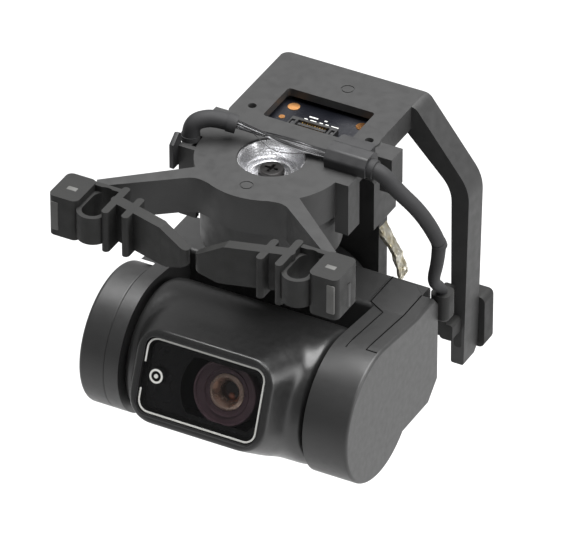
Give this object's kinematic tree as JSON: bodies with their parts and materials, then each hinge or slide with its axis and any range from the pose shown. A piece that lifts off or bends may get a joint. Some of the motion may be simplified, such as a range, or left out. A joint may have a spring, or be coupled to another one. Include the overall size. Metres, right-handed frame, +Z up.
{
  "type": "camera gimbal",
  "caption": "Small three-axis camera gimbal hung in rubber dampers, with a motor for yaw, roll and pitch and a windowed camera.",
  "frame": {"origin": "midway between the eyes of the two front dampers, on the plane of their rims", "axes": "+Z up along the yaw axis, -Y forward where the camera looks, +X to the side of the drop arm"},
  "size_m": [0.0442, 0.0506, 0.0449],
  "materials": {
    "cover_plastic": "soft satin",
    "connector": "moulded",
    "gold": "plated",
    "rubber": "matt moulded",
    "frame_plastic": "fine matt",
    "sleeve": "matt",
    "wire": "varnished",
    "camera_plastic": "satin paint",
    "board": "solder mask",
    "sensor": "silicon",
    "lens_black": "baffle black",
    "lens_glass": "coated",
    "steel": "turned",
    "copper": "enamelled winding",
    "magnet": "nickel plated",
    "lamination": "stacked",
    "black_steel": "black oxide",
    "yoke_plastic": "soft satin",
    "foil": "crumpled",
    "gasket": "foam",
    "glass": "coated",
    "arm_plastic": "fine matt",
    "bright_aluminium": "turned bright"
  },
  "bodies": {
    "suspension": {"suspension_frame": "frame_plastic", "damper_left": "rubber", "damper_right": "rubber", "damper_rear": "rubber", "control_board": "board", "board_connector": "connector", "board_contacts": "gold", "board_pads": "gold", "yaw_bearing_cup": "bright_aluminium", "yaw_bearing_upper": "steel", "yaw_bearing_lower": "steel", "yaw_stator": "lamination", "yaw_coils": "copper", "cable_sleeve_left": "sleeve", "cable_wires": "wire", "cable_sleeve_right": "sleeve", "cable_clamp": "frame_plastic", "cable_clip": "frame_plastic"},
    "yaw_stage": {"yaw_arm": "arm_plastic", "yaw_magnet_ring": "magnet", "yaw_shaft": "steel", "yaw_washer": "steel", "yaw_screw": "black_steel", "roll_stator": "lamination", "roll_coils": "copper", "roll_bearing_front": "steel", "roll_bearing_rear": "steel", "roll_cover": "cover_plastic", "shield_foil": "foil"},
    "roll_stage": {"roll_yoke": "yoke_plastic", "arm_cover": "cover_plastic", "roll_magnet_ring": "magnet", "roll_shaft": "steel", "roll_screw": "black_steel", "pitch_motor_cap": "cover_plastic", "pivot_cap_left": "cover_plastic", "pitch_stator": "lamination", "pitch_coils": "copper", "pitch_bearing_inner": "steel", "pitch_bearing_outer": "steel", "pivot_bearing": "steel", "cable_boot": "rubber"},
    "camera": {"camera_front_shell": "camera_plastic", "camera_rear_shell": "camera_plastic", "window_glass": "glass", "window_gasket": "gasket", "lens_barrel": "lens_black", "lens_ring": "lens_black", "lens_front_element": "lens_glass", "lens_rear_element": "lens_glass", "sensor_board": "board", "image_sensor": "sensor", "sensor_bracket": "lens_black", "pitch_rotor_cup": "steel", "pitch_magnet_ring": "magnet", "pitch_shaft": "steel", "pivot_stub": "camera_plastic"}
  },
  "joints": [
    {"name": "yaw", "type": "hinge", "parent": "suspension", "child": "yaw_stage", "pos_m": [0, 0.02, -0.006], "axis": [0, 0, 1], "range_deg": [-20, 20], "deforming": ["cable_sleeve_right"]},
    {"name": "roll", "type": "hinge", "parent": "yaw_stage", "child": "roll_stage", "pos_m": [0, 0.034, -0.0301], "axis": [0, 1, 0], "range_deg": [-35, 35], "deforming": ["cable_sleeve_right"]},
    {"name": "pitch", "type": "hinge", "parent": "roll_stage", "child": "camera", "pos_m": [0, 0.0127, -0.0301], "axis": [1, 0, 0], "range_deg": [-14, 131]}
  ]
}
